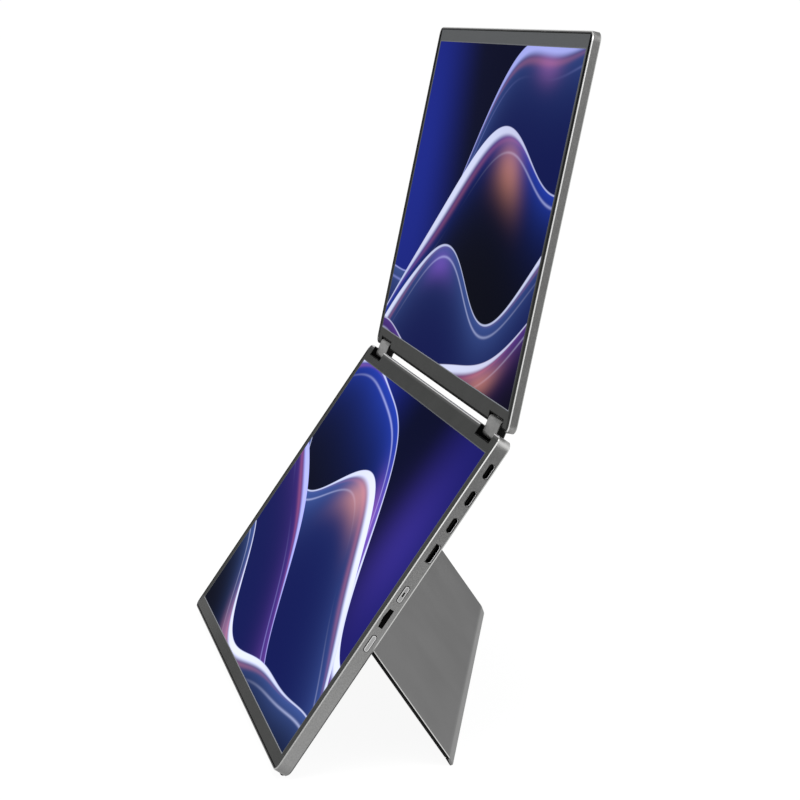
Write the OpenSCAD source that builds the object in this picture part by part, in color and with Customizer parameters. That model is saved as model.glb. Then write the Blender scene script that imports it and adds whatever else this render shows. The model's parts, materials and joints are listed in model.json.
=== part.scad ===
// Folding dual-screen laptop extender: two flat displays on a geared double hinge,
// with a slanted kickstand behind the lower display.
// Units are millimetres. +X runs to the viewer's right, +Y to the back, +Z up.

/* [Displays] */
// Width of the lit area of each display
lit_w = 301.6; // [296:0.1:304]
// Height of the lit area of each display
lit_h = 188.5; // [186:0.1:190]
// Outer width of both housings
body_w = 317; // [314:0.5:322]
// Thickness of the lower housing
low_t = 8.2; // [8:0.1:9]
// Thickness of the upper housing
up_t = 4.8; // [4.8:0.1:5.6]
// Radius of the housing corners seen from the front
corner_r = 5; // [4:0.5:8]
// Dark band below the lower lit area
low_chin = 9; // [8:0.1:11]
// Dark band above the lower lit area
low_head = 11.5; // [11:0.1:13]
// Dark band below the upper lit area
up_chin = 11.6; // [11:0.1:13]
// Dark band above the upper lit area
up_head = 9.3; // [8:0.1:11]

/* [Pose at rest] */
// Rise of the lower display above the table
rise = 55; // [50:0.5:60]
// Forward fold between the two displays
fold = 23.06; // [0:0.1:60]

/* [Hinge] */
// Distance between the two hinge shafts
link = 7.5; // [7.4:0.1:8.5]
// Centre of each hinge from the middle of the body
hinge_x = 133; // [110:1:134]
// Width of one hinge block
hinge_w = 22.4; // [22.4:0.1:23]
// Radius of the rounded ends of a hinge block
hinge_r = 2.5; // [2.4:0.05:2.6]
// Radius of a hinge shaft
shaft_r = 0.85; // [0.7:0.05:0.9]
// Teeth of each synchronising gear
teeth = 12; // [12:1:12]

/* [Kickstand] */
// Slant of the kickstand's hinge line
slant = 15.9; // [14:0.1:17]
// Height of the hinge line at the middle of the body
stand_u = 120.2; // [116:0.1:124]
// Half of the kickstand's width
stand_hw = 142.3; // [138:0.1:144]
// Length of the bent lip at the foot
lip = 5; // [4:0.1:5.5]
// Angle of the bent lip
lip_a = 14; // [12:1:20]
// Radius of the kickstand's two free corners
stand_r = 2; // [1.5:0.5:4]

/* [Ports and buttons] */
// Height of the first, second and third USB-C socket above the bottom edge
usb_u = [190.6, 173.8, 157.0]; // [150:0.1:195]
// Height of the mini HDMI socket above the bottom edge
hdmi_u = 139.3; // [130:0.1:145]
// Height of the menu button above the bottom edge
menu_u = 113.4; // [108:0.1:118]
// Height of the navigation rocker above the bottom edge
rocker_u = 98.0; // [95:0.1:100]
// Height of the power button above the bottom edge
power_u = 82.8; // [82:0.1:85]

/* [Hidden] */
$fn = 40;
e = 0.05;

low_h = low_chin + lit_h + low_head;
up_h = up_chin + lit_h + up_head;
wall = 1.2;
rim = 0.3;                        // housing rim above the glass
glass_t = 0.7;
edge = 1.7;                       // outer edge to glass
half = fold / 2;
gap = 3.59;                       // gap between the displays when flat
axis_in = (link - gap) / 2;       // shaft centre inside each housing edge
low_d = 3.4;                      // shaft depth from the lower housing's back
up_d = 2.7;                       // shaft depth from the upper housing's back
pocket_hw = 13.4;
low_pocket = 6;
up_pocket = 5.3;
liner = 0.6;
tooth_r = link / 6;               // pitch radius of the four equal gears

// kickstand geometry
open_a = 2 * atan(1 / (tan(rise) * cos(slant)));
ax_d = 1.6;                       // depth of the hinge line from the back
barrel = 1.45;
skin_t = 1.1;                     // metal skin of the kickstand
stand_t = 2.4;                    // skin and liner
pad_t = 0.3;                      // foot strip at the lip's end
pad_t0 = 1.2;                     // foot strip at the bend
foot_r = 1.6;
foot_u = 0.2;
foot_d = 1.2;
foot_x = stand_hw + 4.9;
lift = foot_r - (foot_u * sin(rise) + foot_d * cos(rise));
// contact edge of the foot strip in the closed position
pad_du = lip * cos(lip_a) - (skin_t + 0.1 + pad_t) * sin(lip_a);
pad_d = 0.1 + lip * sin(lip_a) + (skin_t + 0.1 + pad_t) * cos(lip_a);
z_a = -sin(slant) * sin(rise);
z_b = cos(slant) * sin(rise);
z_c = cos(rise);
k0 = lift + stand_u * sin(rise) + ax_d * cos(rise);
k1 = -sin(slant) * z_a + cos(slant) * (cos(open_a) * z_b + sin(open_a) * z_c);
k2 = -sin(open_a) * z_b + cos(open_a) * z_c;
foot_line = stand_u - (k0 + (pad_d - ax_d) * k2) / k1;
lip_u = foot_line + pad_du;       // where the lip starts
function line_u(x, b = 0) = stand_u - x * tan(slant) + b / cos(slant);

// origin under the middle of the whole object
function turn_y(x, u, d) =        // Y of a kickstand point once opened
  let (m = u - stand_u, a = x * cos(slant) - m * sin(slant), b = x * sin(slant) + m * cos(slant), c = d - ax_d,
       b2 = b * cos(open_a) - c * sin(open_a), c2 = b * sin(open_a) + c * cos(open_a),
       uu = stand_u - a * sin(slant) + b2 * cos(slant), dd = ax_d + c2)
  uu * cos(rise) - dd * sin(rise);
y_min = 0.5 * cos(rise) - low_t * sin(rise);
y_max = turn_y(-stand_hw + 0.56 * stand_r, lip_u - lip * cos(lip_a), 0.1 + lip * sin(lip_a));
origin_y = -(y_min + y_max) / 2;

// ---------- placement ----------
// panel frame: X right, Y up the panel, Z from its back face to its front
module lower_place() translate([0, origin_y, lift]) rotate([rise, 0, 0]) children();
module link_place() lower_place() translate([0, low_h - axis_in, low_d]) rotate([half, 0, 0]) children();
module upper_place() link_place() translate([0, link, 0]) rotate([half, 0, 0]) translate([0, -axis_in, -up_d]) children();
module stand_place() lower_place() stand_turn(open_a) children();
module stand_turn(a) translate([0, stand_u, ax_d]) rotate(a = a, v = [cos(slant), -sin(slant), 0]) translate([0, -stand_u, -ax_d]) children();
// axis frame of the kickstand hinge: X along the hinge line, Y across it, Z to the front
module line_frame() translate([0, stand_u, ax_d]) rotate([0, 0, -slant]) children();
// right hinge at +hinge_x; the shafts run towards the middle
module left_side() translate([-hinge_x, 0, 0]) children();
module right_side() mirror([1, 0, 0]) left_side() children();

// ---------- shared shapes ----------
module rr(w, h, r) {
  translate([0, h / 2]) {
    square([w - 2 * r, h], center = true);
    square([w, h - 2 * r], center = true);
    for (x = [-1, 1], y = [-1, 1]) translate([x * (w / 2 - r), y * (h / 2 - r)]) circle(r);
  }
}
module slab(z0, z1) translate([0, 0, z0]) linear_extrude(z1 - z0) children();
module box(x0, x1, y0, y1, z0, z1) translate([x0, y0, z0]) cube([x1 - x0, y1 - y0, z1 - z0]);
// one bevelled layer of a rounded plate, narrowing upwards
module bevel(w, h, r, c) {
  for (x = [-1, 1], y = [0, 1]) translate([x * (w / 2 - r), y == 0 ? r : h - r, 0]) cylinder(r1 = r, r2 = r - c, h = c);
  translate([0, h - r, 0]) rotate([90, 0, 0]) linear_extrude(h - 2 * r) polygon([[-w / 2, 0], [w / 2, 0], [w / 2 - c, c], [-w / 2 + c, c]]);
  translate([-(w / 2 - r), 0, 0]) rotate([90, 0, 90]) linear_extrude(w - 2 * r) polygon([[0, 0], [h, 0], [h - c, c], [c, c]]);
}
module housing_block(w, h, t, r, cb, cf) {
  slab(cb, t - cf) rr(w, h, r);
  translate([0, 0, t - cf]) bevel(w, h, r, cf);
  translate([0, 0, cb]) mirror([0, 0, 1]) bevel(w, h, r, cb);
}
module inset(i, w, h, r) translate([0, i]) rr(w - 2 * i, h - 2 * i, r - i);
module xrod(x0, x1, r) translate([x0, 0, 0]) rotate([0, 90, 0]) cylinder(r = r, h = x1 - x0);
module pill_x(x0, x1, l, w) {       // pill standing on the side wall, long along Y
  translate([x0, 0, 0]) rotate([90, 0, 90]) linear_extrude(x1 - x0) pill2(l, w);
}
module pill2(l, w) {
  square([l - w, w], center = true);
  for (s = [-1, 1]) translate([s * (l - w) / 2, 0]) circle(w / 2);
}
module stadium2(r, l) {             // along Y from 0 to l
  circle(r);
  translate([0, l]) circle(r);
  translate([-r, 0]) square([2 * r, l]);
}
module stadium_x(x0, x1, r) translate([x0, 0, 0]) rotate([90, 0, 90]) linear_extrude(x1 - x0) rotate(-90) stadium2(r, link);
module pockets(hw, h0, h1, z0, z1) for (s = [-1, 1]) box(s * hinge_x - hw, s * hinge_x + hw, h0, h1, z0, z1);

// ---------- lower display ----------
module recess2(x, y0, b) polygon([[-x, y0], [x, y0], [x, line_u(x, b)], [-x, line_u(-x, b)]]);
mx = hinge_x - 15.4;                // outer end of a hinge bracket

module lower_back_cover() color([0.45, 0.46, 0.47]) lower_place() difference() {
  union() {
    difference() {
      housing_block(body_w, low_h, low_t, corner_r, 0.8, 0.5);
      slab(wall, low_t + 1) inset(wall, body_w, low_h, corner_r);
    }
    slab(0.6, 3.9) recess2(stand_hw + 1.8, 0.6, 3);
    box(-stand_hw - 1.8, stand_hw + 1.8, 0.6, 7.4, 0.6, 5.3);
    for (s = [-1, 1]) box(s * foot_x - 4.8, s * foot_x + 4.8, 0.6, 3.4, 0.6, 4.4);
    slab(0.6, 4.5) intersection() {
      recess2(stand_hw + 1.8, 0.6, 3);
      translate([0, stand_u]) rotate(-slant) translate([-180, -3.4]) square([360, 9.4]);
    }
    for (s = [-1, 1]) box(s * hinge_x - pocket_hw - liner - 1, s * hinge_x + pocket_hw + liner + 1, low_h - low_pocket - liner - 1, low_h - 0.6, 0.6, 6.5);
    translate([0, 165, 0.6]) cylinder(r = 6.2, h = 4.4);
    for (s = [-1, 1], x = [19.5, 30]) translate([s * (hinge_x - x), low_h - 10.5, 0.6]) cylinder(r = 2, h = 2.3);
    line_frame() for (s = [-1, 1]) translate([s * 93, 9.5, 0.6 - ax_d]) cylinder(r = 2.2, h = 1.5);
  }
  // kickstand recess with the deeper lip and hinge grooves
  slab(-1, 2.85) recess2(stand_hw + 0.6, -2, 1.85);
  box(-stand_hw - 0.6, stand_hw + 0.6, -2, 6.2, -1, 4.3);
  intersection() {
    line_frame() xrod(-170, 170, barrel + 0.35);
    box(-stand_hw - 0.6, stand_hw + 0.6, 0, 200, -2, 5);
  }
  line_frame() for (s = [-1, 1]) {
    box(s * 93 - 5.3, s * 93 + 5.3, 0, 4, 0.3, 1.75);
    translate([s * 93, 9.5, -2]) cylinder(r = 0.8, h = 6);
  }
  // hinge pockets and shaft holes
  pockets(pocket_hw + liner, low_h - low_pocket - liner, low_h + 1, -1, 9);
  for (s = [-1, 1]) {
    box(s * (hinge_x - 25) - 9.9, s * (hinge_x - 25) + 9.9, low_h - 5, low_h - 0.5, wall, 7.1);
    translate([s * (hinge_x - 14), low_h - axis_in, low_d]) rotate([0, 90, 0]) cylinder(r = shaft_r + 0.25, h = 8, center = true);
    for (x = [19.5, 30]) translate([s * (hinge_x - x), low_h - 10.5, 1]) cylinder(r = 0.8, h = 3);
  }
  // tripod insert seat
  translate([0, 165, -1]) cylinder(r = 4.5, h = 7);
  // sockets and buttons in the right wall
  for (u = usb_u) translate([0, u, 3.1]) pill_x(155, 160, 9.1, 3.42);
  translate([0, hdmi_u, 3.1]) hdmi_x(155, 160, 0.42);
  translate([0, menu_u, 4.2]) pill_x(155, 160, 9.9, 2.8);
  translate([0, power_u, 4.2]) pill_x(155, 160, 9.9, 2.8);
  translate([155, rocker_u, 0]) rotate([90, 0, 90]) linear_extrude(5) polygon([[-5.6, 3.25], [5.6, 3.25], [5.6, 5.8], [0, 6.5], [-5.6, 5.8]]);
  // seats of the rubber feet
  feet(0);
}

module feet(g) for (s = [-1, 1]) translate([s * foot_x - 3.4, foot_u, foot_d]) rotate([0, 90, 0]) cylinder(r = foot_r + g, h = 6.8);
module rubber_feet() color([0.1, 0.1, 0.1]) lower_place() feet(0);

module ring(w, h, t0, t1, r) slab(t0, t1) difference() {
  inset(wall, w, h, r);
  inset(edge, w, h, r);
}
module lower_trim_ring() color([0.04, 0.04, 0.045]) lower_place() difference() {
  ring(body_w, low_h, 6.6, 7.8, corner_r);
  pockets(pocket_hw + liner + 0.1, low_h - 8, low_h + 1, 6, 9);
}
module lower_cover_glass() color([0.1, 0.1, 0.11, 0.6]) lower_place() slab(7.2, 7.9) difference() {
  inset(edge, body_w, low_h, corner_r);
  for (s = [-1, 1]) translate([s * hinge_x - pocket_hw - liner - 0.1, low_h - low_pocket - liner - 0.1]) square([2 * (pocket_hw + liner + 0.1), 20]);
}
module lower_oled_panel() color([0.1, 0.12, 0.45]) lower_place() box(-lit_w / 2 - 2.2, lit_w / 2 + 2.2, low_chin - 3, low_chin + lit_h + 3, 6.3, 7.1);
module lower_mid_frame() color([0.55, 0.56, 0.58]) lower_place() difference() {
  slab(5.4, 6.2) translate([0, 4]) rr(body_w - 7, low_h - 15, 5);
  box(152, 160, rocker_u - 8, rocker_u + 8, 5, 7);
  for (x = [-110 : 44 : 110], y = [30, 110, 150]) translate([x, y, 5]) cylinder(r = 8, h = 2);
}
module main_board() color([0.05, 0.28, 0.16]) lower_place() {
  difference() {
    union() {
      box(96, 155.4, 129, 199, 4.75, 5.35);
      box(104, 118, 150, 164, 3.6, 4.75);
      box(108, 116, 176, 188, 3.7, 4.75);
      box(124, 132, 138, 146, 3.4, 4.75);
    }
    for (y = [133, 195]) translate([100, y, 4]) cylinder(r = 1.2, h = 2);
    for (u = usb_u) box(149.9, 156, u - 5, u + 5, 4, 6);
  }
}
module usb_c(u) lower_place() translate([0, u, 3.1]) {
  difference() {
    pill_x(150.2, 158.3, 8.94, 3.26);
    pill_x(151, 159, 8.38, 2.6);
  }
  box(150.6, 157.2, -3.35, 3.35, -0.35, 0.35);
}
module usb_c_port_upper() color([0.25, 0.25, 0.26]) usb_c(usb_u[0]);
module usb_c_port_middle() color([0.25, 0.25, 0.26]) usb_c(usb_u[1]);
module usb_c_port_lower() color([0.25, 0.25, 0.26]) usb_c(usb_u[2]);
module hdmi2(g) polygon([[-5.25 - g, 1.25 + g], [5.25 + g, 1.25 + g], [5.25 + g, -0.35], [4.35 + g * 0.6, -1.25 - g], [-4.35 - g * 0.6, -1.25 - g], [-5.25 - g, -0.35]]);
module hdmi_x(x0, x1, g) translate([x0, 0, 0]) rotate([90, 0, 90]) linear_extrude(x1 - x0) hdmi2(g);
module mini_hdmi_port() color([0.25, 0.25, 0.26]) lower_place() translate([0, hdmi_u, 3.1]) {
  difference() {
    hdmi_x(149.2, 158.3, 0.34);
    hdmi_x(150, 159, 0);
  }
  box(149.6, 157, -3.9, 3.9, -0.1, 0.5);
}
module button_board() color([0.05, 0.28, 0.16]) lower_place() difference() {
  union() {
    box(152.6, 153.4, 80.5, 119.5, 1.7, 5.2);
    for (z = [2.55, 5.65]) box(153.4, 157, rocker_u - 1.4, rocker_u + 1.4, z - 0.35, z + 0.35);
    box(152.6, 153.4, rocker_u - 1.4, rocker_u + 1.4, 5, 6);
  }
  translate([156, rocker_u, 1]) cylinder(r = 0.5, h = 6);
}
module tactile_switches() color([0.75, 0.75, 0.76]) lower_place()
  for (u = [menu_u, power_u, rocker_u - 3.7, rocker_u + 3.7])
    box(153.4, (u == menu_u || u == power_u) ? 155.5 : 154.6, u - 1.4, u + 1.4, 3, 5.1);
module rocker_pin() color([0.7, 0.7, 0.72]) lower_place() translate([156, rocker_u, 2.3]) cylinder(r = 0.5, h = 3.6);
module tripod_insert() color([0.7, 0.6, 0.3]) lower_place() translate([0, 165, 0.1]) difference() {
  cylinder(r = 4.5, h = 4.5);
  translate([0, 0, -1]) cylinder(r = 2.55, h = 7);
}

// kickstand hinge, fixed side
module stand_bracket(s) lower_place() line_frame() difference() {
  union() {
    xrod(s * 93 - 5, s * 93 + 5, barrel);
    box(s * 93 - 5, s * 93 + 5, 0, 13, 0.5, 1.4);
  }
  xrod(s * 93 - 6, s * 93 + 6, 0.8);
  translate([s * 93, 9.5, -1]) cylinder(r = 0.9, h = 4);
}
module stand_bracket_left() color([0.5, 0.5, 0.52]) stand_bracket(-1);
module stand_bracket_right() color([0.5, 0.5, 0.52]) stand_bracket(1);
module stand_pins() color([0.75, 0.75, 0.77]) lower_place() line_frame() for (s = [-1, 1]) xrod(s * 93 - 13, s * 93 + 13, 0.8);
module stand_screws() color([0.6, 0.6, 0.62]) lower_place() line_frame() for (s = [-1, 1]) translate([s * 93, 9.5, 0]) {
  translate([0, 0, -0.9]) cylinder(r = 0.78, h = 2.3);
  translate([0, 0, 1.4]) cylinder(r = 1.6, h = 0.7);
}

// hinge pockets
module lower_pocket_liner() difference() {
  box(-pocket_hw - liner, pocket_hw + liner, low_h - low_pocket - liner, low_h - 0.4, 0.3, 7.7);
  box(-pocket_hw, pocket_hw, low_h - low_pocket, low_h + 1, 1, 9);
  box(-pocket_hw, pocket_hw, low_h - 4.4, low_h + 1, -1, 9);   // the rest is a shelf at the back
  translate([14, low_h - axis_in, low_d]) rotate([0, 90, 0]) cylinder(r = shaft_r + 0.25, h = 4, center = true);
}
module lower_pocket_liner_left() color([0.03, 0.03, 0.03]) lower_place() left_side() lower_pocket_liner();
module lower_pocket_liner_right() color([0.03, 0.03, 0.03]) lower_place() right_side() lower_pocket_liner();
module upper_pocket_liner() difference() {
  box(-pocket_hw - liner, pocket_hw + liner, 0.4, up_pocket + liner, 0.3, 4.4);
  box(-pocket_hw, pocket_hw, -1, up_pocket, -1, 9);
  translate([14, axis_in, up_d]) rotate([0, 90, 0]) cylinder(r = shaft_r + 0.25, h = 4, center = true);
}
module upper_pocket_liner_left() color([0.03, 0.03, 0.03]) upper_place() left_side() upper_pocket_liner();
module upper_pocket_liner_right() color([0.03, 0.03, 0.03]) upper_place() right_side() upper_pocket_liner();

// ---------- double hinge ----------
module lower_bracket() difference() {
  union() {
    translate([0, low_h - axis_in, low_d]) xrod(15.4, 34, 1.3);
    box(15.4, 34, low_h - 14, low_h - 2.4, 2.9, 3.9);
  }
  translate([0, low_h - axis_in, low_d]) xrod(15, 35, shaft_r);
  for (x = [19.5, 30]) translate([x, low_h - 10.5, 2]) cylinder(r = 0.9, h = 3);
}
module lower_hinge_bracket_left() color([0.55, 0.55, 0.57]) lower_place() left_side() lower_bracket();
module lower_hinge_bracket_right() color([0.55, 0.55, 0.57]) lower_place() right_side() lower_bracket();
module upper_bracket() difference() {
  union() {
    translate([0, axis_in, up_d]) xrod(15.2, 34, 1.1);
    box(15.2, 34, 2.2, 11, 1.95, 2.75);
  }
  translate([0, axis_in, up_d]) xrod(15, 35, shaft_r);
  for (x = [19.5, 30]) translate([x, 7.5, 1]) cylinder(r = 0.8, h = 3);
}
module upper_hinge_bracket_left() color([0.55, 0.55, 0.57]) upper_place() left_side() upper_bracket();
module upper_hinge_bracket_right() color([0.55, 0.55, 0.57]) upper_place() right_side() upper_bracket();
module lower_hinge_screws() color([0.6, 0.6, 0.62]) lower_place() for (s = [-1, 1], x = [19.5, 30]) translate([s * (hinge_x - x), low_h - 10.5, 0]) {
  translate([0, 0, 1.6]) cylinder(r = 0.78, h = 2.3);
  translate([0, 0, 3.9]) cylinder(r = 1.5, h = 0.6);
}
module upper_hinge_screws() color([0.6, 0.6, 0.62]) upper_place() for (s = [-1, 1], x = [19.5, 30]) translate([s * (hinge_x - x), 7.5, 0]) {
  translate([0, 0, 1.1]) cylinder(r = 0.66, h = 1.65);
  translate([0, 0, 2.75]) cylinder(r = 1.3, h = 0.24);
}
module shaft() xrod(-10.6, 33.6, shaft_r);
module lower_shaft_left() color([0.3, 0.3, 0.31]) link_place() left_side() shaft();
module lower_shaft_right() color([0.3, 0.3, 0.31]) link_place() right_side() shaft();
module upper_shaft_left() color([0.3, 0.3, 0.31]) link_place() translate([0, link, 0]) left_side() shaft();
module upper_shaft_right() color([0.3, 0.3, 0.31]) link_place() translate([0, link, 0]) right_side() shaft();

module gear2(bore, turn) difference() {
  union() {
    circle(tooth_r - 0.26);
    for (i = [0 : teeth - 1]) rotate(turn + i * 360 / teeth)
      polygon([[tooth_r - 0.45, -0.19], [tooth_r - 0.27, -0.19], [tooth_r, -0.12], [tooth_r + 0.19, -0.05],
               [tooth_r + 0.19, 0.05], [tooth_r, 0.12], [tooth_r - 0.27, 0.19], [tooth_r - 0.45, 0.19]]);
  }
  circle(bore);
}
// the gear lies in the plane across the shaft; turn 0 points a tooth along the link
module gear(bore, turn) translate([5.9, 0, 0]) rotate([90, 0, 90]) linear_extrude(2.4) gear2(bore, turn);
module lower_gear_left() color([0.7, 0.66, 0.5]) link_place() left_side() gear(shaft_r, 0);
module lower_gear_right() color([0.7, 0.66, 0.5]) link_place() right_side() gear(shaft_r, 0);
module upper_gear_left() color([0.7, 0.66, 0.5]) link_place() translate([0, link, 0]) left_side() gear(shaft_r, 15);
module upper_gear_right() color([0.7, 0.66, 0.5]) link_place() translate([0, link, 0]) right_side() gear(shaft_r, 15);
module idler_gears_near() color([0.7, 0.66, 0.5]) link_place() translate([0, link / 3, 0]) { left_side() gear(0.45, 15); right_side() gear(0.45, 15); }
module idler_gears_far() color([0.7, 0.66, 0.5]) link_place() translate([0, 2 * link / 3, 0]) { left_side() gear(0.45, 0); right_side() gear(0.45, 0); }
module idler_pins() color([0.75, 0.75, 0.77]) link_place() for (k = [1, 2]) translate([0, k * link / 3, 0]) { left_side() xrod(4.4, 9.8, 0.4); right_side() xrod(4.4, 9.8, 0.4); }
module hinge_bores() {
  for (t = [0, link]) translate([0, t, 0]) xrod(-12, 12, shaft_r + 0.04);
  for (t = [link / 3, 2 * link / 3]) translate([0, t, 0]) xrod(4.4, 9.8, 0.4);
}
module hinge_cover() difference() {
  stadium_x(-hinge_w / 2, hinge_w / 2, hinge_r);
  stadium_x(-hinge_w / 2 - 1, hinge_w / 2 + 1, hinge_r - 0.45);
}
module hinge_housing() difference() { stadium_x(-10.8, 5.6, hinge_r - 0.46); hinge_bores(); }
module hinge_end_plate() difference() { stadium_x(8.6, 10.8, hinge_r - 0.46); hinge_bores(); }
module hinge_cover_left() color([0.62, 0.62, 0.63]) link_place() left_side() hinge_cover();
module hinge_cover_right() color([0.62, 0.62, 0.63]) link_place() right_side() hinge_cover();
module hinge_housing_left() color([0.05, 0.05, 0.05]) link_place() left_side() hinge_housing();
module hinge_housing_right() color([0.05, 0.05, 0.05]) link_place() right_side() hinge_housing();
module hinge_end_plate_left() color([0.05, 0.05, 0.05]) link_place() left_side() hinge_end_plate();
module hinge_end_plate_right() color([0.05, 0.05, 0.05]) link_place() right_side() hinge_end_plate();

// ---------- upper display ----------
module upper_back_cover() color([0.45, 0.46, 0.47]) upper_place() difference() {
  union() {
    difference() {
      housing_block(body_w, up_h, up_t, corner_r, 0.5, 0.5);
      slab(1, up_t + 1) inset(wall, body_w, up_h, corner_r);
    }
    for (s = [-1, 1]) box(s * hinge_x - pocket_hw - liner - 0.8, s * hinge_x + pocket_hw + liner + 0.8, 0.6, up_pocket + liner + 0.8, 0.6, 3.65);
    for (s = [-1, 1], x = [19.5, 30]) translate([s * (hinge_x - x), 7.5, 0.6]) cylinder(r = 1.8, h = 1.35);
  }
  pockets(pocket_hw + liner, -1, up_pocket + liner, -1, 9);
  box(-body_w / 2 + corner_r, body_w / 2 - corner_r, -1, wall + e, 3.7, 6);
  for (s = [-1, 1]) {
    box(s * (hinge_x - 25) - 9.9, s * (hinge_x - 25) + 9.9, 0.7, 4, 1, 3.85);
    translate([s * (hinge_x - 14), axis_in, up_d]) rotate([0, 90, 0]) cylinder(r = shaft_r + 0.25, h = 8, center = true);
    for (x = [19.5, 30]) translate([s * (hinge_x - x), 7.5, 0.9]) cylinder(r = 0.7, h = 3);
  }
}
module upper_trim_ring() color([0.04, 0.04, 0.045]) upper_place() difference() {
  union() {
    ring(body_w, up_h, 3.85, 4.5, corner_r);
    translate([-body_w / 2 + corner_r + 0.1, 0, 0]) rotate([90, 0, 90]) linear_extrude(body_w - 2 * corner_r - 0.2)
      polygon([[0.05, 3.85], [edge - 0.1, 3.85], [edge - 0.1, 4.7], [1, 4.7], [0.05, 4]]);
  }
  pockets(pocket_hw + liner + 0.1, -1, 8, 3, 6);
}
module upper_cover_glass() color([0.1, 0.1, 0.11, 0.6]) upper_place() slab(3.9, 4.6) difference() {
  inset(edge, body_w, up_h, corner_r);
  for (s = [-1, 1]) translate([s * hinge_x - pocket_hw - liner - 0.1, -10]) square([2 * (pocket_hw + liner + 0.1), 10 + up_pocket + liner + 0.1]);
}
module upper_oled_panel() color([0.1, 0.12, 0.45]) upper_place() box(-lit_w / 2 - 2.2, lit_w / 2 + 2.2, up_chin - 3.6, up_chin + lit_h + 3, 3.05, 3.85);
module upper_mid_frame() color([0.55, 0.56, 0.58]) upper_place() difference() {
  slab(2.4, 3) translate([0, 12]) rr(body_w - 7, up_h - 18, 5);
  for (x = [-110 : 44 : 110], y = [90, 140, 180]) translate([x, y, 2]) cylinder(r = 8, h = 2);
}
module driver_board() color([0.05, 0.28, 0.16]) upper_place() difference() {
  union() {
    box(-90, 90, 20, 52, 1.7, 2.3);
    box(-30, -16, 28, 42, 1.15, 1.7);
    box(40, 52, 26, 44, 1.15, 1.7);
  }
  for (x = [-84, 84]) translate([x, 36, 1]) cylinder(r = 1.2, h = 2);
}

// ---------- kickstand ----------
foot_y = lip_u - lip * cos(lip_a);   // free edge of the lip in the closed position
// outline of the kickstand seen from the back
module stand2(x, r) {
  y = foot_y - 0.1;
  polygon([[-x, y + r], [-x + r, y], [x - r, y], [x, y + r], [x, line_u(x, 0.4)], [-x, line_u(-x, 0.4)]]);
  for (s = [-1, 1]) translate([s * (x - r), y + r]) circle(r);
}
// bent section of the metal skin, from the lip's end up past the hinge line
module skin2() {
  s = sin(lip_a);
  c = cos(lip_a);
  polygon([[230, 0.1], [lip_u, 0.1], [lip_u - lip * c, 0.1 + lip * s], [lip_u - lip * c + skin_t * s, 0.1 + lip * s + skin_t * c],
    [lip_u + skin_t * tan(lip_a / 2), 0.1 + skin_t], [230, 0.1 + skin_t]]);
}
module stand_plate() color([0.4, 0.41, 0.42]) stand_place() difference() {
  union() {
    intersection() {
      translate([-stand_hw - 3, 0, 0]) rotate([90, 0, 90]) linear_extrude(2 * stand_hw + 6) skin2();
      slab(-3, 7) stand2(stand_hw, stand_r);
    }
    intersection() {
      line_frame() xrod(-170, 170, barrel);
      box(-stand_hw + 0.3, stand_hw - 0.3, 0, 200, -2, 5);
    }
  }
  line_frame() for (s = [-1, 1]) {
    box(s * 93 - 5.3, s * 93 + 5.3, -2.2, 2, -3, 3);
    xrod(s * 93 - 13.4, s * 93 + 13.4, 0.85);
  }
}
module stand_liner() color([0.09, 0.09, 0.1]) stand_place()
  slab(0.1 + skin_t, 0.1 + stand_t) polygon([[-stand_hw + 0.6, lip_u + 0.8], [stand_hw - 0.6, lip_u + 0.8],
    [stand_hw - 0.6, line_u(stand_hw - 0.6, -2.6)], [-stand_hw + 0.6, line_u(-stand_hw + 0.6, -2.6)]]);
// strip bonded to the inner side of the lip
module stand_foot_strip() color([0.08, 0.08, 0.08]) stand_place() {
  g = skin_t + 0.1;
  l0 = 0.3;
  intersection() {
    translate([-stand_hw, lip_u, 0]) rotate([90, 0, 90]) linear_extrude(2 * stand_hw) polygon([
      [-l0 * cos(lip_a) + g * sin(lip_a), 0.1 + l0 * sin(lip_a) + g * cos(lip_a)],
      [-lip * cos(lip_a) + g * sin(lip_a), 0.1 + lip * sin(lip_a) + g * cos(lip_a)],
      [-lip * cos(lip_a) + (g + pad_t) * sin(lip_a), 0.1 + lip * sin(lip_a) + (g + pad_t) * cos(lip_a)],
      [-l0 * cos(lip_a) + (g + pad_t0) * sin(lip_a), 0.1 + l0 * sin(lip_a) + (g + pad_t0) * cos(lip_a)]]);
    slab(-3, 7) stand2(stand_hw - 0.7, stand_r - 0.3);
  }
}

// ---------- buttons ----------
module push_button() {
  pill_x(155.9, 158.9, 9.4, 2.3);
  pill_x(155.9, 156.9, 11, 3.3);
}
module power_button() color([0.66, 0.66, 0.67]) lower_place() translate([0, power_u, 4.2]) push_button();
module menu_button() color([0.66, 0.66, 0.67]) lower_place() translate([0, menu_u, 4.2]) difference() {
  push_button();
  pill_x(157.4, 160, 2.8, 0.8);
}
module nav_rocker() color([0.02, 0.02, 0.02]) lower_place() difference() {
  union() {
    translate([155.5, rocker_u, 0]) rotate([90, 0, 90]) linear_extrude(3.2) polygon([[-5.2, 3.5], [5.2, 3.5], [5.2, 5.5], [0, 6.15], [-5.2, 5.5]]);
  }
  translate([156, rocker_u, 1]) cylinder(r = 0.55, h = 6);
  box(154, 157.2, rocker_u - 1.7, rocker_u + 1.7, 5.1, 7);
  box(154, 157.2, rocker_u - 1.7, rocker_u + 1.7, 2, 3.1);
}

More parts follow.
